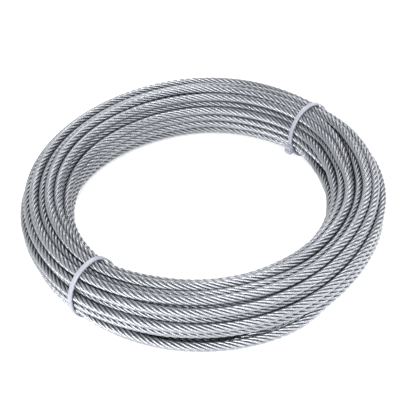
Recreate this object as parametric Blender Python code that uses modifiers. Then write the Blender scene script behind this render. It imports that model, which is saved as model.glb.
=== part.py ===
"""A coil of 5 mm galvanised wire rope, lying flat and held by two nylon cable ties.

The rope is one turned ring. Its section is the outline of the turns that lie on the outside of the
bundle, so each of them shows as a rounded ridge with a valley beside it. The turns stand in upright
columns that bed into each other like the cells of a honeycomb. Each cable tie is one piece: a strap
pulled tight round the bundle, the head on the side that faces the eye of the coil, and the cut end
of the strap that comes out of the head. Under a tie the turns are pressed together, so the bundle
has a narrow waist there, and the strap lies in it.

Metres, +Z up. The origin is the middle of the coil on the surface that it lies on.
"""

from math import atan2, cos, pi, radians, sin

import bmesh
import bpy
from mathutils import Matrix, Vector
from mathutils.geometry import convex_hull_2d

# Rope and coil
ROPE_DIAMETER = 0.005
COIL_RADIUS = 0.0875
TURN_GAP = 0.0002
STRAND_BEDDING = 0.0002
COLUMN_TURNS = (3, 6, 7, 6, 7, 6, 3)

# Cable ties
STRAP_WIDTH = 0.0025
STRAP_THICKNESS = 0.0011
HEAD_WIDTH = 0.0047
HEAD_LENGTH = 0.0050
HEAD_DEPTH = 0.0034
HEAD_EDGE = 0.0005
HEAD_DROP = 0.0062
ROOT_WIDTH = 0.0021
CUT_END_LENGTH = 0.0010
RIGHT_TIE_ANGLE = radians(37.5)
LEFT_TIE_ANGLE = radians(226.5)

# Fits
CLEARANCE = 0.0003
FLOOR_CLEARANCE = 0.0001
VALLEY_ANGLE = radians(30)

# Fineness of the round shapes
COIL_STEPS = 40
TURN_ARC_STEP = radians(45)
STRAP_ARC_STEP = radians(30)
SHARP_ANGLE = radians(35)
WELD_DISTANCE = 0.00001

ROPE_RADIUS = ROPE_DIAMETER / 2
TURN_PITCH = ROPE_DIAMETER + TURN_GAP
TIED_PITCH = ROPE_DIAMETER - STRAND_BEDDING
COLUMN_SHARE = cos(radians(30))


def half_width(pitch):
    """Return half the width of the bundle, from its middle to the outside of the rope."""
    return (len(COLUMN_TURNS) - 1) / 2 * pitch * COLUMN_SHARE + ROPE_RADIUS


def half_height(pitch):
    """Return half the height of the bundle, from its middle to the top of the rope."""
    return (max(COLUMN_TURNS) - 1) / 2 * pitch + ROPE_RADIUS


def all_turns(pitch):
    """Return the middle of every turn, column by column from the eye of the coil outwards."""
    turns = []
    for index, count in enumerate(COLUMN_TURNS):
        x = (index - (len(COLUMN_TURNS) - 1) / 2) * pitch * COLUMN_SHARE
        turns += [Vector((x, (row - (count - 1) / 2) * pitch)) for row in range(count)]
    return turns


def heading(start, end):
    """Return the angle of the line from one point to another."""
    return atan2(end.y - start.y, end.x - start.x)


def outside_turns(pitch):
    """Walk clockwise round the outside of the bundle, from each turn to the next that touches it."""
    turns = all_turns(pitch)
    walk = [turns[-1]]
    back = pi / 2
    while len(walk) == 1 or walk[-1] is not walk[0]:
        here = walk[-1]
        touching = [turn for turn in turns if 0 < (turn - here).length < pitch + CLEARANCE]
        following = min(touching, key=lambda turn: (back - heading(here, turn)) % (2 * pi) or 2 * pi)
        back = heading(following, here)
        walk.append(following)
    return walk[:-1]


def arc(middle, radius, start_angle, sweep, usual_step, flats_touch):
    """Return points clockwise along an arc with an odd number of flats.

    Either the flats touch the true circle, or the corners between them lie on it.
    """
    steps = max(1, round(sweep / usual_step))
    steps += 1 - steps % 2
    step = sweep / steps
    reach = radius / cos(step / 2) if flats_touch else radius
    angles = [start_angle - step * index for index in range(steps + 1)]
    return [(middle.x + reach * cos(angle), middle.y + reach * sin(angle)) for angle in angles]


def ridged_outline(pitch):
    """Return the bundle's outline with a ridge for each outside turn and a flat in each valley."""
    turns = outside_turns(pitch)
    points = []
    for index, middle in enumerate(turns):
        to_last = heading(middle, turns[index - 1])
        to_next = heading(middle, turns[(index + 1) % len(turns)])
        sweep = (to_last - to_next) % (2 * pi) - 2 * VALLEY_ANGLE
        points += arc(middle, ROPE_RADIUS, to_last - VALLEY_ANGLE, sweep, TURN_ARC_STEP, True)
    return points


def taut_outline(pitch, stand_off):
    """Return the outline of a band pulled tight round the bundle, a given distance off the rope."""
    turns = all_turns(pitch)
    corners = [turns[index] for index in convex_hull_2d(turns)]
    corners.sort(key=lambda turn: -atan2(turn.y, turn.x))
    points = []
    for index, middle in enumerate(corners):
        came = heading(corners[index - 1], middle)
        goes = heading(middle, corners[(index + 1) % len(corners)])
        bend = (came - goes) % (2 * pi)
        points += arc(middle, ROPE_RADIUS + stand_off, came + pi / 2, bend, STRAP_ARC_STEP, False)
    return points


def make_collection(name):
    """Make a collection in the scene."""
    collection = bpy.data.collections.new(name)
    bpy.context.scene.collection.children.link(collection)
    return collection


def make_material(name, colour, roughness, metallic):
    """Make a material with one Principled BSDF."""
    material = bpy.data.materials.new(name)
    material.use_nodes = True
    shader = material.node_tree.nodes["Principled BSDF"]
    shader.inputs["Base Color"].default_value = (*colour, 1)
    shader.inputs["Roughness"].default_value = roughness
    shader.inputs["Metallic"].default_value = metallic
    return material


def place(mesh, name, collection, station=None):
    """Put a mesh in a collection as a named object, in the frame of a station if one is given."""
    piece = bpy.data.objects.new(name, mesh)
    piece.parent = station
    collection.objects.link(piece)
    return piece


def flat_loop(name, outer, inner, width, collection, station):
    """Make a flat band that runs between two closed outlines, as a mesh of the given width."""
    curve = bpy.data.curves.new(name, "CURVE")
    curve.dimensions = "2D"
    curve.fill_mode = "BOTH"
    curve.extrude = width / 2
    for outline in (outer, inner):
        spline = curve.splines.new("POLY")
        spline.points.add(len(outline) - 1)
        spline.use_cyclic_u = True
        for point, (x, y) in zip(spline.points, outline):
            point.co = (x, y, 0, 1)
    guide = place(curve, name + "_guide", collection)
    evaluated = guide.evaluated_get(bpy.context.evaluated_depsgraph_get())
    mesh = bpy.data.meshes.new_from_object(evaluated)
    bpy.data.objects.remove(guide)
    solid = bmesh.new()
    solid.from_mesh(mesh)
    bmesh.ops.remove_doubles(solid, verts=solid.verts, dist=WELD_DISTANCE)
    bmesh.ops.recalc_face_normals(solid, faces=solid.faces)
    solid.to_mesh(mesh)
    solid.free()
    return place(mesh, name, collection, station)


def block(name, low, high, collection, station, edge=0.0):
    """Make a box between two corners, with its edges rounded if an edge radius is given."""
    size = Vector(high) - Vector(low)
    middle = (Vector(high) + Vector(low)) / 2
    solid = bmesh.new()
    bmesh.ops.create_cube(solid, size=1, matrix=Matrix.Translation(middle) @ Matrix.Diagonal((*size, 1)))
    mesh = bpy.data.meshes.new(name)
    solid.to_mesh(mesh)
    solid.free()
    piece = place(mesh, name, collection, station)
    if edge > 0:
        bevel = piece.modifiers.new("rounded_edges", "BEVEL")
        bevel.width = edge
        bevel.segments = 2
    return piece


def combine(piece, tool, operation):
    """Join a tool to a piece or cut it out. The tool is only a guide."""
    tool.hide_render = True
    tool.display_type = "WIRE"
    boolean = piece.modifiers.new(tool.name, "BOOLEAN")
    boolean.operation = operation
    boolean.solver = "EXACT"
    boolean.object = tool


def make_station(name, angle, collection):
    """Make the empty at the middle of the tied bundle: X away from the coil's eye, Y up."""
    tied_height = half_height(TIED_PITCH) + CLEARANCE + STRAP_THICKNESS + FLOOR_CLEARANCE
    station = place(None, name, collection)
    station.location = (COIL_RADIUS * cos(angle), COIL_RADIUS * sin(angle), tied_height)
    station.rotation_euler = (pi / 2, 0, angle)
    return station


def make_rope_coil(collection, steel):
    """Turn the ridged outline about the coil's axis."""
    middle_height = half_height(TURN_PITCH)
    points = [(COIL_RADIUS + x, 0, middle_height + y) for x, y in ridged_outline(TURN_PITCH)]
    profile = bmesh.new()
    corners = [profile.verts.new(point) for point in points]
    for start, end in zip(corners, corners[1:] + corners[:1]):
        profile.edges.new((start, end))
    mesh = bpy.data.meshes.new("rope_coil")
    profile.to_mesh(mesh)
    profile.free()
    coil = place(mesh, "rope_coil", collection)
    mesh.materials.append(steel)
    screw = coil.modifiers.new("turned", "SCREW")
    screw.axis = "Z"
    screw.angle = 2 * pi
    screw.steps = COIL_STEPS
    screw.render_steps = COIL_STEPS
    screw.use_merge_vertices = True
    screw.merge_threshold = WELD_DISTANCE
    screw.use_smooth_shade = False
    return coil


def make_waist_cutter(name, station, cutters):
    """Make the frame that cuts the narrow waist under a strap."""
    inner = taut_outline(TIED_PITCH, 0)
    outer = taut_outline(TIED_PITCH, 2 * ROPE_DIAMETER)
    return flat_loop(name, outer, inner, STRAP_WIDTH + 2 * CLEARANCE, cutters, station)


def make_cable_tie(name, station, collection, cutters, nylon):
    """Make the strap, then join the head, its root and the cut end of the strap to it."""
    inner = taut_outline(TIED_PITCH, CLEARANCE)
    outer = taut_outline(TIED_PITCH, CLEARANCE + STRAP_THICKNESS)
    tie = flat_loop(name, outer, inner, STRAP_WIDTH, collection, station)
    strap_middle = -(half_width(TIED_PITCH) + CLEARANCE + STRAP_THICKNESS / 2)
    head_back = -(half_width(TURN_PITCH) + 2 * CLEARANCE)
    head_face = head_back - HEAD_DEPTH
    head_middle = (head_back + head_face) / 2
    cut_end = head_face - CUT_END_LENGTH
    half_length = HEAD_LENGTH / 2
    head = block(name + "_head", (head_face, -HEAD_DROP - half_length, -HEAD_WIDTH / 2),
                 (head_back, -HEAD_DROP + half_length, HEAD_WIDTH / 2), cutters, station, HEAD_EDGE)
    root = block(name + "_root", (head_middle, -HEAD_DROP - half_length + HEAD_EDGE, -ROOT_WIDTH / 2),
                 (strap_middle, -HEAD_DROP + half_length - HEAD_EDGE, ROOT_WIDTH / 2), cutters, station)
    half_strap = STRAP_THICKNESS / 2
    end = block(name + "_cut_end", (cut_end, -HEAD_DROP - half_strap, -STRAP_WIDTH / 2),
                (head_middle, -HEAD_DROP + half_strap, STRAP_WIDTH / 2), cutters, station)
    for tool in (root, head, end):
        combine(tie, tool, "UNION")
    tie.data.materials.append(nylon)
    tie.data.shade_smooth()
    tie.data.set_sharp_from_angle(angle=SHARP_ANGLE)
    return tie


def main():
    """Build the coil and its two ties in an empty scene."""
    for old in list(bpy.data.objects):
        bpy.data.objects.remove(old)
    parts = make_collection("wire_rope_coil")
    cutters = make_collection("cutters")
    steel = make_material("galvanised_steel", (0.50, 0.50, 0.52), 0.38, 0.9)
    nylon = make_material("natural_nylon", (0.84, 0.84, 0.88), 0.45, 0.0)
    coil = make_rope_coil(parts, steel)
    for side, angle in (("left", LEFT_TIE_ANGLE), ("right", RIGHT_TIE_ANGLE)):
        station = make_station("tie_station_" + side, angle, parts)
        combine(coil, make_waist_cutter("waist_" + side, station, cutters), "DIFFERENCE")
        make_cable_tie("cable_tie_" + side, station, parts, cutters, nylon)


main()
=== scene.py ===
"""A coil of galvanised wire rope, bundled by two nylon cable ties, on a pale studio floor.

The rope is 20 m of 5 mm rope, six strands of seven wires, wound in 36.8 turns. Its line is found
first: each turn has a place in the bundle, moves to the next place once in each round, and is then
settled against its neighbours. Straight rope, laid strand by strand, is bent along that line.
"""

from __future__ import annotations

import logging
import math
import sys
from collections.abc import Sequence
from dataclasses import dataclass, field
from enum import Enum

import bmesh
import bpy
import numpy as np
from bmesh.types import BMEdge, BMesh, BMVert
from bpy.types import ID, Material, Mesh, Node, NodeSocket, Object
from mathutils import Matrix, Vector


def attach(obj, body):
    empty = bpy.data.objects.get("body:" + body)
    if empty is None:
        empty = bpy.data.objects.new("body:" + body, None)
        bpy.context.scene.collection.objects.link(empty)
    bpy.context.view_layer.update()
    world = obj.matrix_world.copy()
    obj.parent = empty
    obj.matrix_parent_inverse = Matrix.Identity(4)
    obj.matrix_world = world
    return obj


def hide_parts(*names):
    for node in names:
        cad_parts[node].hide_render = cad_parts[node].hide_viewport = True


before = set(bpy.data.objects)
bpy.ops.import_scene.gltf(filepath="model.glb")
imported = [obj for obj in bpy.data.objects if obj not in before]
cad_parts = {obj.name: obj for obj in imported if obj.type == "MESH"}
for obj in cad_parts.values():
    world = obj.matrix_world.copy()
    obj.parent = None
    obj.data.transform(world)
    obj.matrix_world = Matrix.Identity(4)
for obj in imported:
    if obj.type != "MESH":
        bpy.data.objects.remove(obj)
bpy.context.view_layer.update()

LOG = logging.getLogger("wire_rope_coil")
ROPE_DIAMETER = 0.005
STRAND_MAP = "strand"
CLOSENESS = "closeness"
Colour = tuple[float, float, float, float]
MILLIMETRE = 0.001
HAIR = 0.01 * MILLIMETRE
NEXT_TO_NOTHING = 1e-9


# Steps that several classes share


def add_object(name: str, data: ID) -> Object:
    """Put a new object with that mesh, light or camera into the scene and return it."""
    made = bpy.data.objects.new(name, data)
    bpy.context.scene.collection.objects.link(made)
    return made


def round_edges(bm: BMesh, edges: list[BMEdge], offset: float, segments: int) -> None:
    """Round some edges of a mesh."""
    bmesh.ops.bevel(
        bm, geom=edges, offset=offset, affect="EDGES", segments=segments, profile=0.5, material=-1
    )


def edges_between(bm: BMesh, verts: Sequence[BMVert]) -> list[BMEdge]:
    """Return the edges that join some of a mesh's points, in the mesh's own order."""
    chosen = set(verts)
    return [edge for edge in bm.edges if chosen.issuperset(edge.verts)]


def finished_mesh(name: str, bm: BMesh) -> Mesh:
    """Turn a bmesh into a mesh of that name, sorted so that runs don't differ, and free it."""
    slant = Vector((0.61, 0.35, 0.71))
    bm.verts.sort(key=lambda vert: vert.co.dot(slant))
    bm.edges.sort(key=lambda edge: (edge.verts[0].co + edge.verts[1].co).dot(slant))
    bm.faces.sort(key=lambda face: face.calc_center_median().dot(slant))
    mesh = bpy.data.meshes.new(name)
    bm.to_mesh(mesh)
    bm.free()
    return mesh


def eased(share: np.ndarray) -> np.ndarray:
    """Return shares of 0 to 1 with a soft start and a soft end."""
    return share * share * (3 - 2 * share)


# Shader nodes


class Value:
    """A number that a shader works out, whose operators add Math nodes."""

    def __init__(self, net: ShaderNet, socket: NodeSocket) -> None:
        """Keep the nodes it belongs to and the socket that gives it."""
        self.net = net
        self.socket = socket

    def _math(self, operation: str, first: object, second: object = None) -> Value:
        """Add one Math node.

        Args:
            operation: The Math node's operation.
            first: Its first number or value.
            second: Its second number or value, if it takes one.

        Returns:
            The node's result.
        """
        links = {0: first} if second is None else {0: first, 1: second}
        node = self.net.node("ShaderNodeMath", {"operation": operation}, links)
        return Value(self.net, node.outputs[0])

    def __add__(self, other: object) -> Value:
        """Add."""
        return self._math("ADD", self, other)

    def __radd__(self, other: object) -> Value:
        """Add to a number."""
        return self._math("ADD", other, self)

    def __sub__(self, other: object) -> Value:
        """Subtract."""
        return self._math("SUBTRACT", self, other)

    def __rsub__(self, other: object) -> Value:
        """Subtract from a number."""
        return self._math("SUBTRACT", other, self)

    def __mul__(self, other: object) -> Value:
        """Multiply."""
        return self._math("MULTIPLY", self, other)

    def __rmul__(self, other: object) -> Value:
        """Multiply a number."""
        return self._math("MULTIPLY", other, self)

    def __pow__(self, other: object) -> Value:
        """Raise to a power."""
        return self._math("POWER", self, other)

    def __abs__(self) -> Value:
        """Drop the sign."""
        return self._math("ABSOLUTE", self)

    def sine(self) -> Value:
        """Return the sine."""
        return self._math("SINE", self)

    def held(self) -> Value:
        """Return the value held between 0 and 1."""
        return self._math("MINIMUM", self._math("MAXIMUM", self, 0.0), 1.0)

    def ramp(self, start: float, rate: float) -> Value:
        """Return a ramp: 0 up to the start, then rising at that rate, and 1 at most."""
        return ((self - start) * rate).held()


class ShaderNet:
    """The nodes of one material, from its coordinates to its surface."""

    COLOUR_FACTOR, COLOUR_A, COLOUR_B, COLOUR_RESULT = 0, 6, 7, 2

    def __init__(self, name: str) -> None:
        """Make an empty material of that name with one surface shader."""
        self.material = bpy.data.materials.new(name)
        self.material.use_nodes = True
        self.tree = self.material.node_tree
        self.tree.nodes.clear()
        self.shader = self.node("ShaderNodeBsdfPrincipled")
        self.node("ShaderNodeOutputMaterial", inputs={"Surface": self.shader.outputs[0]})

    def node(self, kind: str, settings: dict | None = None, inputs: dict | None = None) -> Node:
        """Add a node.

        Args:
            kind: The node's type.
            settings: Its settings by name, which are made first.
            inputs: Numbers, colours, values or sockets by the name or place of their input.

        Returns:
            The new node.
        """
        node = self.tree.nodes.new(kind)
        for setting, choice in (settings or {}).items():
            setattr(node, setting, choice)
        self._fill(node, inputs or {})
        return node

    def _fill(self, node: Node, inputs: dict) -> None:
        """Give a node its numbers, colours and links."""
        for place, given in inputs.items():
            source = given.socket if isinstance(given, Value) else given
            if isinstance(source, NodeSocket):
                self.tree.links.new(source, node.inputs[place])
            else:
                node.inputs[place].default_value = source

    def surface(self, inputs: dict) -> None:
        """Give the surface shader its numbers, colours and links."""
        self._fill(self.shader, inputs)

    def position(self, stretch: Sequence[float] = (1.0, 1.0, 1.0)) -> NodeSocket:
        """Return the point on the object, stretched along its axes."""
        point = self.node("ShaderNodeTexCoord").outputs["Object"]
        mapping = self.node("ShaderNodeMapping", inputs={"Vector": point, "Scale": tuple(stretch)})
        return mapping.outputs[0]

    def noise(self, where: NodeSocket, scale: float, detail: float = 2.0) -> Value:
        """Return a soft noise of about 0 to 1.

        Args:
            where: The point it is read at.
            scale: How many patches it has in a metre.
            detail: How many finer layers it has.

        Returns:
            The noise.
        """
        inputs = {"Vector": where, "Scale": scale, "Detail": detail}
        return Value(self, self.node("ShaderNodeTexNoise", inputs=inputs).outputs[0])

    def mix(self, share: object, first: object, second: object) -> NodeSocket:
        """Mix two colours.

        Args:
            share: How much there is of the second, 0 to 1.
            first: A colour or its socket.
            second: A colour or its socket.

        Returns:
            The mixed colour's socket.
        """
        inputs = {self.COLOUR_FACTOR: share, self.COLOUR_A: first, self.COLOUR_B: second}
        node = self.node("ShaderNodeMix", {"data_type": "RGBA"}, inputs)
        return node.outputs[self.COLOUR_RESULT]

    def bump(self, height: Value, distance: float, strength: float) -> NodeSocket:
        """Return the normal of a surface with that relief."""
        inputs = {"Height": height, "Distance": distance, "Strength": strength}
        return self.node("ShaderNodeBump", inputs=inputs).outputs[0]


@dataclass(frozen=True)
class GalvanisedWire:
    """Bright galvanised wire: satin zinc, with painted shade in the grooves between the wires, in
    the valleys between the strands and in the crevices between the turns.

    A ramp is given by its start and its rate. A shade is how much of the painted shade's colour is
    mixed in.
    """

    zinc: Colour = (0.272, 0.283, 0.305, 1.0)
    pale_zinc: Colour = (0.335, 0.347, 0.367, 1.0)
    painted_shade: Colour = (0.04, 0.04, 0.052, 1.0)
    wires_round_strand: int = 6
    strand_lays: int = 3
    wire_relief: float = 0.00006
    wire_roundness: float = 0.6
    wire_shade: float = 0.45
    valley_ramp: tuple[float, float] = (0.195, 14.0)
    valley_shade: float = 0.82
    patch_ramp: tuple[float, float] = (0.35, 2.2)
    crevice_rate: float = 1.4
    crevice_shade: float = 0.3
    tight_shade: float = 0.65
    tight_ramp: tuple[float, float] = (0.42, 5.0)
    streak_dulls: float = 0.14
    hollow_dulls: float = 0.3

    def material(self) -> Material:
        """Return the material, which reads the rope's own map and its closeness to the next turn.

        The map's first number runs round a strand, once for a full turn, and its second along the
        rope, once for each lay.
        """
        net = ShaderNet("galvanised_rope")
        rope_map = net.node("ShaderNodeUVMap", {"uv_map": STRAND_MAP}).outputs[0]
        split = net.node("ShaderNodeSeparateXYZ", inputs={0: rope_map})
        round_strand, along = Value(net, split.outputs[0]), Value(net, split.outputs[1])
        wires_in_lay = self.wires_round_strand * self.strand_lays
        turns = round_strand * self.wires_round_strand + along * wires_in_lay
        wire = abs((turns * math.pi).sine()) ** self.wire_roundness
        valley = abs(round_strand - 0.5).ramp(*self.valley_ramp)
        patches = net.noise(net.position(), scale=55.0, detail=3.0)
        streaks = net.noise(net.position(stretch=(1.0, 1.0, 2.5)), scale=420.0)
        body = net.mix(patches.ramp(*self.patch_ramp), self.zinc, self.pale_zinc)
        # Painted shade: the grooves between the wires are darkened towards the painted shade's
        # colour.
        wire_grooves_shaded = net.mix((1.0 - wire).held() * self.wire_shade, body, self.painted_shade)
        # Painted shade: the valleys between the strands are darkened.
        strand_valleys_shaded = net.mix(valley * self.valley_shade, wire_grooves_shaded, self.painted_shade)
        # Painted shade: where the next turn lies close the crevice is darkened, more in some
        # patches than in others.
        nearness = net.node("ShaderNodeAttribute", {"attribute_name": CLOSENESS})
        close = Value(net, nearness.outputs["Fac"])
        tight = net.noise(net.position(), scale=22.0, detail=1.0).ramp(*self.tight_ramp)
        shade = self.crevice_shade + tight * self.tight_shade
        crevice = (close * self.crevice_rate).held() * shade
        hollow = valley + close
        net.surface(
            {
                "Base Color": net.mix(crevice, strand_valleys_shaded, self.painted_shade),
                "Metallic": 0.85,
                "Roughness": 0.19 + streaks * self.streak_dulls + hollow * self.hollow_dulls,
                "Normal": net.bump(wire, self.wire_relief, strength=0.5),
            }
        )
        return net.material


@dataclass(frozen=True)
class NaturalNylon:
    """Natural nylon: milky, a little lavender, satin and faintly clouded."""

    milk: Colour = (0.258, 0.267, 0.308, 1.0)
    cloud: Colour = (0.228, 0.236, 0.282, 1.0)

    def material(self) -> Material:
        """Return the material, which reads the point on the object."""
        net = ShaderNet("natural_nylon")
        clouds = net.noise(net.position(), scale=300.0)
        grain = net.noise(net.position(), scale=2500.0)
        net.surface(
            {
                "Base Color": net.mix(clouds, self.milk, self.cloud),
                "Roughness": 0.34 + clouds * 0.14,
                "Subsurface Weight": 0.25,
                "Subsurface Radius": (1.0, 1.0, 1.0),
                "Subsurface Scale": 0.0008,
                "IOR": 1.53,
                "Normal": net.bump(grain, distance=0.00002, strength=0.4),
            }
        )
        return net.material


@dataclass(frozen=True)
class PaleFloor:
    """A matt, nearly white studio floor with a faint glow, so that shadows on it stay faint."""

    paint: Colour = (0.95, 0.95, 0.95, 1.0)
    shade: Colour = (0.93, 0.93, 0.93, 1.0)
    glow: float = 0.15

    def material(self) -> Material:
        """Return the material."""
        net = ShaderNet("pale_floor")
        colour = net.mix(net.noise(net.position(), scale=3.0), self.paint, self.shade)
        net.surface(
            {
                "Base Color": colour,
                "Roughness": 0.9,
                "Specular IOR Level": 0.1,
                "Emission Color": colour,
                "Emission Strength": self.glow,
            }
        )
        return net.material


# The rope's line


@dataclass(frozen=True)
class BundleShape:
    """The bundle's section all the way round: it bulges between the ties and is squeezed at them.

    A table of waves gives, in millimetres, the cosine and sine parts of one wave after another.
    """

    radius: float = 0.0862
    floor_height: float = 0.0182
    half_width: float = 0.0161
    half_height: float = 0.0181
    tied_half_width: float = 0.0145
    tied_half_height: float = 0.0169
    tied_drift: float = 0.0009
    width_waves: tuple[float, ...] = (0.94, 0.48, -0.73, -0.24, 0.46, 0.44, 0.92, 0.45)
    drift_waves: tuple[float, ...] = (0.08, -0.77, -0.19, 0.06, 0.28, -0.09, 0.16, 0.05)
    tie_angles: tuple[float, ...] = (math.radians(37.5), math.radians(226.5))
    tie_reach: float = math.radians(16)

    @staticmethod
    def _waves(table: Sequence[float], first: int, angle: np.ndarray) -> np.ndarray:
        """Add up waves.

        Args:
            table: The cosine and sine part of each wave, in millimetres.
            first: How many times the first wave goes round.
            angle: The places round the coil.

        Returns:
            Their sum at each place, in metres.
        """
        total = np.zeros_like(angle)
        for place in range(0, len(table), 2):
            times = first + place // 2
            cosine, sine = table[place : place + 2]
            total = total + cosine * np.cos(times * angle) + sine * np.sin(times * angle)
        return total * MILLIMETRE

    def squeeze(self, angle: np.ndarray) -> np.ndarray:
        """Return how much the ties squeeze at each place, 0 to 1."""
        total = np.zeros_like(angle)
        for tie in self.tie_angles:
            away = (angle - tie + math.pi) % math.tau - math.pi
            total = total + np.exp(-((away / self.tie_reach) ** 2))
        return total

    def reach(self, angle: np.ndarray) -> np.ndarray:
        """Return the section's half width and half height at each place."""
        squeeze = self.squeeze(angle)
        free = self.half_width + self._waves(self.width_waves, 1, angle)
        width = free + (self.tied_half_width - free) * squeeze
        height = self.half_height + (self.tied_half_height - self.half_height) * squeeze
        return np.stack([width, height], axis=1)

    def middle(self, angle: np.ndarray) -> np.ndarray:
        """Return how far the section's middle is from the coil's axis at each place."""
        drift = self._waves(self.drift_waves, 2, angle)
        return self.radius + drift + self.tied_drift * self.squeeze(angle)


@dataclass(frozen=True)
class Parting:
    """A stretch where neighbouring turns part, so that a dark gap shows between them.

    Each stop gives an angle round the coil in degrees, and where the gap's mouth is in the section
    there, across and up from the section's middle in millimetres. The depth leads from the mouth to
    the gap's end, in millimetres too, and the gap opens and closes over the fade, in degrees. With
    some slack, turns beside the gap may lie that share of the section outside the bundle.
    """

    stops: tuple[tuple[float, float, float], ...]
    depth: tuple[float, float]
    width: float = 0.0008
    fade: float = 8.0
    slack: float = 0.0
    slack_reach: float = 1.2
    force: float = 0.08

    def mouth(self, angle: np.ndarray) -> tuple[np.ndarray, np.ndarray]:
        """Return the gap's mouth at each place round the coil, and how open it is there, 0 to 1."""
        table = np.array(self.stops)
        first, last = table[0, 0], table[-1, 0]
        degrees = (np.degrees(angle) - first + self.fade) % 360 + first - self.fade
        columns = [np.interp(degrees, table[:, 0], table[:, axis]) for axis in (1, 2)]
        share = np.clip(np.minimum(degrees - first, last - degrees) / self.fade + 1, 0, 1)
        return np.stack(columns, axis=1) * MILLIMETRE, eased(share)

    def push(
        self, place: np.ndarray, angle: np.ndarray, rope: float
    ) -> tuple[np.ndarray, np.ndarray]:
        """Make the turns give way.

        Args:
            place: Each turn's point in the section at each station.
            angle: The stations' angles.
            rope: The rope's diameter.

        Returns:
            How far each turn moves, and how far outside the bundle it may lie, as a share of the
            section.
        """
        mouth, width = self.mouth(angle)
        depth = np.array(self.depth) * MILLIMETRE
        share = np.clip((place - mouth) @ depth / (depth @ depth), 0, 1)[..., None]
        away = place - mouth - share * depth
        far = np.linalg.norm(away, axis=-1, keepdims=True) + NEXT_TO_NOTHING
        need = (rope + self.width) / 2 * width[None, :, None]
        move = away * np.clip(1 - far / (need + NEXT_TO_NOTHING), 0, None) * self.force
        return move, np.where(far < need * self.slack_reach, self.slack, 0.0) * width[None, :, None]


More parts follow.
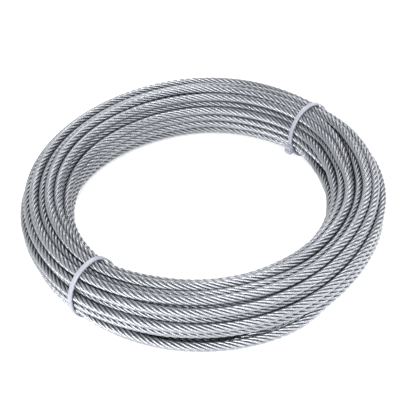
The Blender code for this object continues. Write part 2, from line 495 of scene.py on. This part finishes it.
@dataclass
class Winding:
    """Finds the rope's line: each turn's place in the bundle, at every station round the coil."""

    shape: BundleShape = field(default_factory=BundleShape)
    rope: float = ROPE_DIAMETER
    turns: float = 36.8
    stations: int = 40
    finer: int = 3
    start_angle: float = math.radians(217.5)
    columns: tuple[int, ...] = (3, 6, 7, 6, 7, 6, 3)
    tied_pitch: float = 0.00468
    closest: float = 0.00488
    tied_closest: float = 0.00466
    change_arc: float = math.radians(110)
    wander: float = 0.0017
    slow_wander: float = 0.35
    stray_waves: tuple[float, ...] = (0.83, 1.37, 2.21, 3.1, 4.3)
    knots_in_turn: int = 8
    shuffles: int = 600
    coarse_rounds: int = 600
    fine_rounds: int = 100
    line_points: int = 6
    first_pull: float = 0.04
    tie_hold: float = 0.5
    tie_focus: int = 6
    stiffness: float = 0.3
    easing_from: float = 0.85
    easing: float = 1 / 3
    seed: int = 4
    partings: tuple[Parting, ...] = (
        Parting(
            stops=((238, 14.6, 0.9), (255, 16.0, 0.2), (294, 16.3, -0.3)),
            depth=(-8.5, -11.2),
            width=0.0016,
            fade=12,
            slack=0.13,
        ),
        Parting(
            stops=((196, 4.4, 18.0), (208, 5.2, 18.0), (220, 4.6, 17.8)),
            depth=(-1.0, -8.0),
            width=0.0007,
        ),
        Parting(
            stops=((188, -7.8, 16.0), (200, -8.0, 16.0), (214, -8.6, 15.6)),
            depth=(-0.6, -7.0),
            width=0.0007,
        ),
        Parting(
            stops=((-8, 4.5, 17.6), (0, 4.8, 17.6), (8, 4.4, 17.6), (17, 2.5, 17.9), (27, 0.6, 18)),
            depth=(3.5, -7.0),
        ),
        Parting(
            stops=((-10, -3.0, 17.8), (-3, -4.6, 17.4), (8, -8.0, 16.0), (23, -11.0, 13.3)),
            depth=(2.6, -6.5),
            width=0.0007,
        ),
    )
    places: np.ndarray = field(init=False)
    present: np.ndarray = field(init=False)
    angles: np.ndarray = field(init=False)

    def __post_init__(self) -> None:
        """Settle the rope at a few stations, then at `finer` times as many."""
        random = np.random.default_rng(self.seed)
        self._set_stations()
        first = self._first_line(self._walk(random), random)
        coarse = self._settled(first, self.coarse_rounds, self.first_pull)
        whole = len(coarse)
        place = np.arange(whole * self.stations * self.finer) / self.finer
        finer = self._between(coarse.reshape(-1, 2), place)
        self.stations *= self.finer
        self._set_stations()
        self.places = self._settled(finer.reshape(whole, self.stations, 2), self.fine_rounds, 0.0)

    def _set_stations(self) -> None:
        """Lay out the stations round the coil, and say which turns are present at each."""
        whole = math.ceil(self.turns)
        index = np.arange(whole * self.stations)
        self.present = (index <= round(self.turns * self.stations)).reshape(whole, self.stations)
        self.angles = self.start_angle + np.arange(self.stations) / self.stations * math.tau

    @staticmethod
    def _between(run: np.ndarray, place: np.ndarray) -> np.ndarray:
        """Read a line between its points, on a smooth curve through them.

        Args:
            run: The line's points.
            place: Where to read it, 1 for each point.

        Returns:
            The points read.
        """
        knot = np.minimum(np.floor(place).astype(int), len(run) - 2)
        share = (place - knot)[:, None]
        padded = np.vstack([2 * run[0] - run[1], run, 2 * run[-1] - run[-2]])
        before, here, after, beyond = (padded[knot + offset] for offset in range(4))
        cubic = 3 * (here - after) + beyond - before
        square = 2 * before - 5 * here + 4 * after - beyond
        return here + 0.5 * share * (after - before + share * (square + share * cubic))

    def _slots(self, pitch: float) -> np.ndarray:
        """Return the places of a tight bundle, column by column, in the section."""
        places = []
        for column, turns in enumerate(self.columns):
            across = (column - (len(self.columns) - 1) / 2) * pitch * math.cos(math.radians(30))
            places += [(across, (row - (turns - 1) / 2) * pitch) for row in range(turns)]
        return np.array(places)

    def _walk(self, random: np.random.Generator) -> list[int]:
        """Walk over all places of the tight bundle, from one to a touching one.

        Args:
            random: Where chance comes from.

        Returns:
            The places in order. Both ends of the walk lie inside the bundle.
        """
        slots = self._slots(1.0)
        apart = np.linalg.norm(slots[:, None] - slots[None], axis=2)
        itself, touch, neighbours_inside = 0.1, 1.1, 6
        touching = [np.flatnonzero((row > itself) & (row < touch)) for row in apart]
        inside = {slot for slot, near in enumerate(touching) if len(near) == neighbours_inside}
        walk: list[int] = []
        for column, turns in enumerate(self.columns):
            begin = sum(self.columns[:column])
            run = list(range(begin, begin + turns))
            walk += run if column % 2 == 0 else run[::-1]
        changes = 0
        while changes < self.shuffles or walk[0] not in inside or walk[-1] not in inside:
            if random.random() < 0.5:
                walk.reverse()
            at = walk.index(int(random.choice(touching[walk[-1]])))
            walk[at + 1 :] = walk[:at:-1]
            changes += 1
        return walk

    def _first_line(self, walk: Sequence[int], random: np.random.Generator) -> np.ndarray:
        """Draw the line before it settles.

        A turn moves on to the next place of the walk once in each round, the last turn first, so
        that the place it moves to is always free.

        Args:
            walk: The places of the tight bundle in the order of the turns.
            random: Where chance comes from.

        Returns:
            Each turn's point in the section at each station.
        """
        whole = math.ceil(self.turns)
        progress = np.arange(self.stations) / self.stations
        slots = self._slots(self.tied_pitch)
        line = np.zeros((whole, self.stations, 2))
        for turn in range(whole):
            middle = 1 - (turn + 1) / (whole + 1)
            low = max(middle - self.change_arc / math.tau / 2, 0.0)
            high = min(middle + self.change_arc / math.tau / 2, 1.0)
            share = eased(np.clip((progress - low) / (high - low), 0, 1))[:, None]
            line[turn] = slots[walk[turn]] * (1 - share) + slots[walk[turn + 1]] * share
        tied = (self.shape.tied_half_width, self.shape.tied_half_height)
        grow = self.shape.reach(self.angles) / tied
        free = np.clip(1 - self.shape.squeeze(self.angles), 0, 1)[None, :, None]
        strays = self._strays(whole, random)
        return line * grow[None] + self.wander * strays.reshape(line.shape) * free

    def _strays(self, whole: int, random: np.random.Generator) -> np.ndarray:
        """Return how a hand-wound rope strays: in slow waves, and by a drift within each turn.

        Args:
            whole: How many turns there are.
            random: Where chance comes from.

        Returns:
            How far the rope strays at each station, turn after turn.
        """
        count = whole * self.stations
        along = np.arange(count) / self.stations * math.tau
        slow = np.zeros((count, 2))
        for axis in range(2):
            for wave in self.stray_waves:
                phase = random.uniform(0, math.tau)
                slow[:, axis] += random.normal() * np.sin(wave * along + phase) / math.sqrt(wave)
        knots = random.normal(size=(whole * self.knots_in_turn + 1, 2))
        place = np.linspace(0, whole * self.knots_in_turn - 0.001, count)
        knot = np.floor(place).astype(int)
        share = eased((place - knot)[:, None])
        return self.slow_wander * slow + knots[knot] * (1 - share) + knots[knot + 1] * share

    def _settled(self, goal: np.ndarray, rounds: int, pull: float) -> np.ndarray:
        """Settle the rope: smooth, inside the bundle, and no two turns in one place.

        Args:
            goal: The line before it settles.
            rounds: How often each rule is applied.
            pull: How strongly the first line holds the rope at the start.

        Returns:
            The settled line, in the same layout.
        """
        layout = goal.shape
        bound = self.shape.reach(self.angles)[None] - self.rope / 2
        tied = np.clip(self.shape.squeeze(self.angles), 0, 1)
        held = tied[None, :, None] ** self.tie_focus
        closest = (self.closest + (self.tied_closest - self.closest) * tied)[:, None, None]
        both = self.present.T[:, :, None] & self.present.T[:, None]
        both &= ~np.eye(layout[0], dtype=bool)[None]
        place = goal.copy()
        for step in range(rounds):
            late = step / rounds
            # Turns beside a parting give way
            slack = np.zeros_like(place[..., :1])
            for parting in self.partings:
                move, loose = parting.push(place, self.angles, self.rope)
                place += move
                slack = np.maximum(slack, loose)
            # The first line holds the rope, longest at the ties
            place += (goal - place) * pull * ((1 - late) ** 2 + self.tie_hold * held)
            # The rope is stiff
            run = place.reshape(-1, 2)
            bend = run[:-2] + run[2:] - 2 * run[1:-1]
            run[1:-1] += bend * self.stiffness * (1.0 if late < self.easing_from else self.easing)
            place = run.reshape(layout)
            # It goes half of the way back into the bundle
            outside = np.sqrt(((place / bound) ** 2).sum(axis=2, keepdims=True)) / (1 + slack)
            place *= np.where(outside > 1, 0.5 + 0.5 / np.maximum(outside, 1), 1.0)
            # Turns that are too close push each other away
            here = place.transpose(1, 0, 2)
            away = here[:, :, None] - here[:, None]
            far = np.sqrt((away**2).sum(axis=3)) + NEXT_TO_NOTHING
            lack = np.clip(closest - far, 0, None) * both
            push = (away * (lack / far * 0.5)[..., None]).sum(axis=2)
            crowd = np.clip((lack > 0).sum(axis=2), 1, 2)[..., None]
            place += (push / crowd).transpose(1, 0, 2)
        LOG.info("winding: settled, turns at most %.2f mm too close", lack.max() / MILLIMETRE)
        return place

    def section(self, angle: float) -> np.ndarray:
        """Return the ropes' middles at one place: how far from the coil's axis, and how high."""
        turn = ((angle - self.start_angle) % math.tau) / math.tau * self.stations
        station = round(turn) % self.stations
        here = self.places[self.present[:, station], station]
        middle = float(self.shape.middle(np.array(angle)))
        return here + (middle, self.shape.floor_height)

    def line(self) -> np.ndarray:
        """Return the rope's line in space, with `line_points` points for each station."""
        run = self.places.reshape(-1, 2)[self.present.reshape(-1)]
        place = np.arange((len(run) - 1) * self.line_points + 1) / self.line_points
        smooth = self._between(run, place)
        angle = self.start_angle + place / self.stations * math.tau
        reach = self.shape.middle(angle) + smooth[:, 0]
        height = np.maximum(self.shape.floor_height + smooth[:, 1], self.rope / 2)
        return np.stack([reach * np.cos(angle), reach * np.sin(angle), height], axis=1)

    def next_turn(self, points: np.ndarray, line: np.ndarray) -> np.ndarray:
        """Return how far points are from the middle of the next turn.

        Args:
            points: Points on the rope's surface.
            line: The rope's line, as `line` gives it.

        Returns:
            For each point, its distance from the second nearest turn: the nearest is its own.
        """
        steps = self.stations * self.line_points
        where = np.arctan2(points[:, 1], points[:, 0]) - self.start_angle
        step = np.round(where / math.tau * steps).astype(int) % steps
        place = np.stack([np.hypot(points[:, 0], points[:, 1]), points[:, 2]], axis=1)
        turns = np.stack([np.hypot(line[:, 0], line[:, 1]), line[:, 2]], axis=1)
        order = np.argsort(step, kind="stable")
        far = np.empty(len(points))
        for some in np.split(order, np.flatnonzero(np.diff(step[order])) + 1):
            here = turns[step[some[0]] :: steps]
            apart = np.linalg.norm(place[some, None] - here, axis=2)
            far[some] = np.partition(apart, 1, axis=1)[:, 1]
        return far


# The rope


class Lay(Enum):
    """Which way the strands turn on their way along the rope."""

    RIGHT = 1
    LEFT = -1


@dataclass(frozen=True)
class RopeMake:
    """How the rope is made: its strands, and how steeply they are laid."""

    diameter: float = ROPE_DIAMETER
    strands: int = 6
    lay_length: float = 0.0235
    lay: Lay = Lay.RIGHT
    crown_angles: tuple[float, ...] = (-65.0, -22.0, 22.0, 65.0)
    valley_radius: float = 0.00148
    rings: int = 14

    @property
    def strand_circle(self) -> float:
        """How far a strand's middle is from the rope's."""
        return self.diameter / 3

    @property
    def strand_radius(self) -> float:
        """How thick half a strand is."""
        return self.diameter / 6

    def _outline(self) -> list[Vector]:
        """Return the rope's section: rounded strands with a valley after each."""
        points = []
        step = math.tau / self.strands
        half_step = Matrix.Rotation(step / 2, 3, "Z")
        for strand in range(self.strands):
            turn = Matrix.Rotation(strand * step, 3, "Z")
            for crown in self.crown_angles:
                lean = Matrix.Rotation(math.radians(crown), 3, "Z")
                local = lean @ Vector((self.strand_radius, 0, 0))
                points.append(turn @ (local + Vector((self.strand_circle, 0, 0))))
            points.append(turn @ half_step @ Vector((self.valley_radius, 0, 0)))
        return points

    def _polar(self, point: Vector) -> float:
        """Return where a point is round the rope, with the lay undone."""
        return math.atan2(point.y, point.x) - self.lay.value * math.tau * point.z / self.lay_length

    def _map_strands(self, bm: BMesh) -> None:
        """Give the mesh its map: round the strand, and along the lay."""
        uv = bm.loops.layers.uv.new(STRAND_MAP)
        step = math.tau / self.strands
        for face in bm.faces:
            strand = round(self._polar(face.calc_center_median()) / step)
            for loop in face.loops:
                point = loop.vert.co
                polar = self._polar(point) - strand * step
                reach = math.hypot(point.x, point.y)
                across, out = reach * math.sin(polar), reach * math.cos(polar)
                local = math.atan2(across, out - self.strand_circle)
                loop[uv].uv = (local / math.tau + 0.5, point.z / self.lay_length)

    def one_lay(self) -> Mesh:
        """Return one lay of straight rope along Z, open at both ends."""
        bm = bmesh.new()
        outline = self._outline()
        ring = bmesh.ops.create_circle(
            bm, cap_ends=False, segments=len(outline), radius=self.diameter / 2
        )
        for vert, point in zip(ring["verts"], outline, strict=True):
            vert.co = point
        bmesh.ops.spin(
            bm,
            geom=bm.verts[:] + bm.edges[:],
            cent=(0, 0, 0),
            axis=(0, 0, 1),
            dvec=(0, 0, self.lay_length / self.rings),
            angle=self.lay.value * math.tau,
            steps=self.rings,
            use_merge=False,
        )
        face = next(iter(bm.faces))
        face.normal_update()
        middle = face.calc_center_median()
        if face.normal.dot(Vector((middle.x, middle.y, 0))) < 0:
            bmesh.ops.reverse_faces(bm, faces=bm.faces[:])
        for face in bm.faces:
            face.smooth = True
        edge_of_valley = self.valley_radius + 0.1 * MILLIMETRE
        for edge in bm.edges:
            deep = all(math.hypot(vert.co.x, vert.co.y) < edge_of_valley for vert in edge.verts)
            edge.smooth = not deep
        self._map_strands(bm)
        return finished_mesh("one_lay", bm)


@dataclass
class WireRopeCoil:
    """The rope itself, bent along its winding, in a few pieces only to keep each mesh small.

    The closeness, which sets the painted shade in the crevices between turns, starts when the next
    turn is nearer than the shade's reach.
    """

    winding: Winding
    make: RopeMake = field(default_factory=RopeMake)
    finish: GalvanisedWire = field(default_factory=GalvanisedWire)
    pieces: int = 4
    shade_reach: float = 0.0009
    path_step: float = 0.005

    def _straight(self, lays: int) -> Mesh:
        """Return that many lays of straight rope along Z."""
        source = add_object("straight_rope", self.make.one_lay())
        array = source.modifiers.new("lays", "ARRAY")
        array.use_relative_offset = False
        array.use_constant_offset = True
        array.constant_offset_displace = (0, 0, self.make.lay_length)
        array.count = lays
        array.use_merge_vertices = True
        array.merge_threshold = HAIR
        shown = source.evaluated_get(bpy.context.evaluated_depsgraph_get())
        mesh = bpy.data.meshes.new_from_object(shown)
        bpy.data.objects.remove(source)
        return mesh

    @staticmethod
    def _close_ends(mesh: Mesh) -> None:
        """Close the two cut ends of a run of rope with flat faces."""
        bm = bmesh.new()
        bm.from_mesh(mesh)
        rim = [edge for edge in bm.edges if edge.is_boundary]
        caps = bmesh.ops.holes_fill(bm, edges=rim, sides=0)["faces"]
        for cap in caps:
            cap.smooth = False
            for edge in cap.edges:
                edge.smooth = False
        bm.to_mesh(mesh)
        bm.free()

    @staticmethod
    def _read(table: np.ndarray, along: np.ndarray, at: np.ndarray) -> np.ndarray:
        """Read a table's rows, given how far along the rope they are, between them."""
        return np.stack([np.interp(at, along, column) for column in table.T], axis=1)

    def _bend(self, mesh: Mesh, start: float, line: np.ndarray, along: np.ndarray) -> None:
        """Bend a straight run onto the winding, and note how close the next turn is.

        Args:
            mesh: The straight run, changed in place.
            start: How far along the rope it starts.
            line: Points of the rope's line.
            along: How far along the rope each of them is.
        """
        points = np.empty(len(mesh.vertices) * 3)
        mesh.vertices.foreach_get("co", points)
        points = points.reshape(-1, 3)
        heading = np.gradient(line, along, axis=0)
        heading /= np.linalg.norm(heading, axis=1, keepdims=True)
        side = np.cross((0.0, 0.0, 1.0), heading)
        side /= np.linalg.norm(side, axis=1, keepdims=True)
        over = np.cross(heading, side)
        at = points[:, 2] + start
        middle, across, up = (self._read(table, along, at) for table in (line, side, over))
        bent = middle + points[:, :1] * across + points[:, 1:2] * up
        mesh.vertices.foreach_set("co", bent.reshape(-1))
        gap = self.winding.next_turn(bent, line) - self.make.diameter / 2
        closeness = mesh.attributes.new(CLOSENESS, "FLOAT", "POINT")
        closeness.data.foreach_set("value", np.clip(1 - gap / self.shade_reach, 0, 1))
        mesh.update()

    def build(self) -> list[Object]:
        """Make the rope.

        Returns:
            Its pieces, dressed and declared, from its first end to its last.
        """
        line = self.winding.line()
        along = np.concatenate([[0.0], np.cumsum(np.linalg.norm(np.diff(line, axis=0), axis=1))])
        lays = int(along[-1] / self.make.lay_length)
        material = self.finish.material()
        built = []
        for number in range(self.pieces):
            first = lays * number // self.pieces
            count = lays * (number + 1) // self.pieces - first
            mesh = self._straight(count)
            start = first * self.make.lay_length
            self._bend(mesh, start, line, along)
            self._close_ends(mesh)
            piece = add_object(f"rope_run_{number + 1}", mesh)
            mesh.name = piece.name
            mesh.materials.clear()
            mesh.materials.append(material)
            self._declare(piece)
            built.append(piece)
        LOG.info("rope: %.2f m in %d lays and %d pieces", along[-1], lays, self.pieces)
        return built

    def _declare(
        self, piece: Object
    ) -> None:
        """Say what a piece of the rope is and what it stands for.

        Args:
            piece: The piece.
        """
        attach(piece, "root")
        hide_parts("rope_coil")


# The cable ties


@dataclass
class CableTie:
    """A cable tie pulled tight round the bundle, its head on the inner wall and its tail cut short.

    The slot's depth and the tail's hold in it are shares of the head's depth, and the tail's fit is
    its share of the strap's width and thickness.
    """

    name: str
    node: str
    angle: float
    winding: Winding
    strap_width: float = 0.0025
    strap_thickness: float = 0.0011
    strap_edge: float = 0.00025
    head_width: float = 0.0047
    head_length: float = 0.0050
    head_depth: float = 0.0034
    head_edge: float = 0.0005
    head_drop: float = 0.0062
    slot_width: float = 0.0028
    slot_height: float = 0.0014
    slot_depth: float = 0.55
    head_seat: float = 0.0002
    cut_end: float = 0.0010
    tail_hold: float = 0.7
    tail_fit: tuple[float, float] = (0.94, 0.9)
    tail_edge: float = 0.00018
    directions: int = 120
    slack: float = 0.00002
    evening: float = math.radians(13)
    lift: float = 0.6
    sharp: float = math.radians(38)

    def _hull(self) -> np.ndarray:
        """Return the taut line round the ropes: how far from the coil's axis, and how high.

        The strap is stiff, so it bends evenly over the outermost ropes instead of sharply over
        each, and is lifted by a share of how deep it would cut into them.
        """
        ropes = self.winding.section(self.angle)
        centre = ropes.mean(axis=0)
        turn = np.arange(self.directions) / self.directions * math.tau
        heading = np.stack([np.cos(turn), np.sin(turn)], axis=1)
        tight = ((ropes - centre) @ heading.T).max(axis=0) + self.winding.rope / 2 + self.slack
        away = (turn[:, None] - turn[None] + math.pi) % math.tau - math.pi
        weight = np.exp(-((away / self.evening) ** 2))
        even = weight @ tight / weight.sum(axis=1)
        even += float(np.max(tight - even)) * self.lift
        lean = (np.roll(even, -1) - np.roll(even, 1)) / (2 * math.tau / self.directions)
        across = np.stack([-heading[:, 1], heading[:, 0]], axis=1)
        return centre + even[:, None] * heading + lean[:, None] * across

    def _strap(self, bm: BMesh, hull: np.ndarray) -> None:
        """Make the strap: a taut band, thickened outwards, with rounded rims.

        Args:
            bm: The mesh that gets it.
            hull: The taut line round the ropes.
        """
        ring = bmesh.ops.create_circle(bm, cap_ends=False, segments=len(hull), radius=0.01)["verts"]
        for vert, (reach, height) in zip(ring, hull, strict=True):
            vert.co = (reach, -self.strap_width / 2, height)
        bmesh.ops.remove_doubles(bm, verts=bm.verts[:], dist=2 * HAIR)
        grown = bmesh.ops.extrude_edge_only(bm, edges=bm.edges[:])["geom"]
        moved = [item for item in grown if isinstance(item, BMVert)]
        bmesh.ops.translate(bm, verts=moved, vec=(0, self.strap_width, 0))
        bmesh.ops.recalc_face_normals(bm, faces=bm.faces[:])
        middle = sum((vert.co for vert in bm.verts), Vector()) / len(bm.verts)
        face = next(iter(bm.faces))
        if face.normal.dot(face.calc_center_median() - middle) < 0:
            bmesh.ops.reverse_faces(bm, faces=bm.faces[:])
        bmesh.ops.solidify(bm, geom=bm.faces[:], thickness=-self.strap_thickness)
        bmesh.ops.recalc_face_normals(bm, faces=bm.faces[:])
        rims = [
            edge
            for edge in bm.edges
            if len({abs(face.normal.y) > 0.5 for face in edge.link_faces}) == 2
        ]
        round_edges(bm, rims, self.strap_edge, segments=2)

    def _head(self, bm: BMesh, hull: np.ndarray) -> None:
        """Make the head, with the slot in its face and the cut end of the strap in the slot.

        Args:
            bm: The mesh that gets it.
            hull: The taut line round the ropes.
        """
        height = self.winding.shape.floor_height - self.head_drop
        wall = hull[hull[:, 0] < hull[:, 0].mean()]
        wall = wall[np.argsort(wall[:, 1])]
        inner = float(np.interp(height, wall[:, 1], wall[:, 0]))
        back = inner - self.strap_thickness + self.head_seat
        cube = bmesh.ops.create_cube(bm, size=1.0)["verts"]
        bmesh.ops.scale(bm, verts=cube, vec=(self.head_depth, self.head_width, self.head_length))
        bmesh.ops.translate(bm, verts=cube, vec=(back - self.head_depth / 2, 0, height))
        round_edges(bm, edges_between(bm, cube), self.head_edge, segments=3)
        front = min(bm.faces, key=lambda face: face.calc_center_median().x)
        rim = (self.head_width - 2 * self.head_edge - self.slot_width) / 2
        bmesh.ops.inset_region(bm, faces=[front], thickness=rim, depth=0.0, use_even_offset=True)
        tall = self.slot_height / (self.head_length - 2 * self.head_edge - 2 * rim)
        middle_of_slot = Matrix.Translation(-front.calc_center_median())
        bmesh.ops.scale(bm, verts=list(front.verts), vec=(1, 1, tall), space=middle_of_slot)
        floor = bmesh.ops.extrude_discrete_faces(bm, faces=[front])["faces"][0]
        inwards = (self.head_depth * self.slot_depth, 0, 0)
        bmesh.ops.translate(bm, verts=list(floor.verts), vec=inwards)
        tail = bmesh.ops.create_cube(bm, size=1.0)["verts"]
        reach = self.cut_end + self.head_depth * self.tail_hold
        wide, thick = self.tail_fit
        size = (reach, self.strap_width * wide, self.strap_thickness * thick)
        bmesh.ops.scale(bm, verts=tail, vec=size)
        place = (back - self.head_depth - self.cut_end + reach / 2, 0, height)
        bmesh.ops.translate(bm, verts=tail, vec=place)
        round_edges(bm, edges_between(bm, tail), self.tail_edge, segments=2)

    def build(self, material: Material) -> Object:
        """Make the tie.

        Args:
            material: What it is made of.

        Returns:
            The finished piece.
        """
        hull = self._hull()
        bm = bmesh.new()
        self._strap(bm, hull)
        self._head(bm, hull)
        turn = Matrix.Rotation(self.angle, 3, "Z")
        bmesh.ops.rotate(bm, verts=bm.verts[:], cent=(0, 0, 0), matrix=turn)
        bmesh.ops.recalc_face_normals(bm, faces=bm.faces[:])
        for face in bm.faces:
            face.smooth = True
        mesh = finished_mesh(self.name, bm)
        mesh.set_sharp_from_angle(angle=self.sharp)
        mesh.materials.append(material)
        piece = add_object(self.name, mesh)
        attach(piece, "root")
        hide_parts(self.node)
        return piece


# The studio


@dataclass(frozen=True)
class SoftBox:
    """A soft box, by the direction in degrees that it hangs in as seen from the coil."""

    name: str
    azimuth: float
    elevation: float
    radiance: float
    width: float = 0.45
    height: float = 0.45
    distance: float = 1.2


@dataclass
class Studio:
    """A pale floor, seven soft boxes, an even pale surround, and the camera."""

    elevation: float = math.radians(42.28)
    roll: float = math.radians(4.70)
    distance: float = 0.519
    aim: tuple[float, float, float] = (-0.00077, 0.0168, 0.0)
    focal_pixels: float = 877.1
    frame_pixels: float = 400.0
    sensor: float = 36.0
    clip: tuple[float, float] = (0.01, 50.0)
    floor_side: float = 6.0
    floor_finish: PaleFloor = field(default_factory=PaleFloor)
    surround: Colour = (1.0, 1.0, 1.0, 1.0)
    surround_strength: float = 1.10
    boxes: tuple[SoftBox, ...] = (
        SoftBox("key_box", azimuth=255, elevation=35, radiance=12.5),
        SoftBox("near_box", azimuth=225, elevation=35, radiance=13.0),
        SoftBox("front_box", azimuth=285, elevation=35, radiance=3.0),
        SoftBox("fill_box", azimuth=315, elevation=46, radiance=5.6, height=0.90),
        SoftBox("side_box", azimuth=15, elevation=35, radiance=5.5),
        SoftBox("low_box", azimuth=0, elevation=12, radiance=4.0),
        SoftBox("back_box", azimuth=100, elevation=35, radiance=6.0),
    )

    def camera(self) -> Object:
        """Place the camera at the photograph's angle and return it."""
        data = bpy.data.cameras.new("camera")
        data.sensor_fit = "HORIZONTAL"
        data.sensor_width = self.sensor
        data.lens = self.focal_pixels / self.frame_pixels * self.sensor
        data.clip_start, data.clip_end = self.clip
        camera = add_object("camera", data)
        back = Vector((0, -math.cos(self.elevation), math.sin(self.elevation))) * self.distance
        look = (-back).to_track_quat("-Z", "Y").to_matrix()
        turn = look @ Matrix.Rotation(-self.roll, 3, "Z")
        camera.matrix_world = Matrix.Translation(Vector(self.aim) + back) @ turn.to_4x4()
        bpy.context.scene.camera = camera
        return camera

    def floor(self) -> Object:
        """Lay the floor and return it."""
        bm = bmesh.new()
        bmesh.ops.create_grid(bm, x_segments=1, y_segments=1, size=self.floor_side / 2)
        mesh = finished_mesh("studio_floor", bm)
        mesh.materials.append(self.floor_finish.material())
        floor = add_object("studio_floor", mesh)
        return floor

    @staticmethod
    def _softbox(box: SoftBox) -> Object:
        """Hang one soft box that faces the coil and return it."""
        data = bpy.data.lights.new(box.name, "AREA")
        data.shape = "RECTANGLE"
        data.size, data.size_y = box.width, box.height
        data.energy = math.pi * box.width * box.height * box.radiance
        light = add_object(box.name, data)
        azimuth, elevation = math.radians(box.azimuth), math.radians(box.elevation)
        level = math.cos(elevation)
        toward = Vector((level * math.cos(azimuth), level * math.sin(azimuth), math.sin(elevation)))
        turn = (-toward).to_track_quat("-Z", "Y").to_matrix().to_4x4()
        light.matrix_world = Matrix.Translation(toward * box.distance) @ turn
        return light

    def build(self) -> None:
        """Set up the whole studio."""
        scene = bpy.context.scene
        self.camera()
        self.floor()
        for box in self.boxes:
            self._softbox(box)
        world = bpy.data.worlds.new("surround")
        world.use_nodes = True
        background = world.node_tree.nodes["Background"]
        background.inputs["Color"].default_value = self.surround
        background.inputs["Strength"].default_value = self.surround_strength
        scene.world = world
        scene.view_settings.view_transform = "Standard"
        scene.view_settings.look = "None"
        scene.view_settings.exposure = 0.0
        scene.view_settings.gamma = 1.0
        LOG.info("studio: ready")


def main() -> None:
    """Build the studio, the rope and the ties, and report each piece."""
    logging.basicConfig(level=logging.INFO, format="%(name)s: %(message)s", stream=sys.stdout)
    Studio().build()
    winding = Winding()
    pieces = WireRopeCoil(winding).build()
    nylon = NaturalNylon().material()
    right, left = winding.shape.tie_angles
    pieces.append(CableTie("right_tie", "cable_tie_right", right, winding).build(nylon))
    pieces.append(CableTie("left_tie", "cable_tie_left", left, winding).build(nylon))
    for piece in pieces:
        LOG.info("%s: %d faces", piece.name, len(piece.data.polygons))


if __name__ == "__main__":
    main()
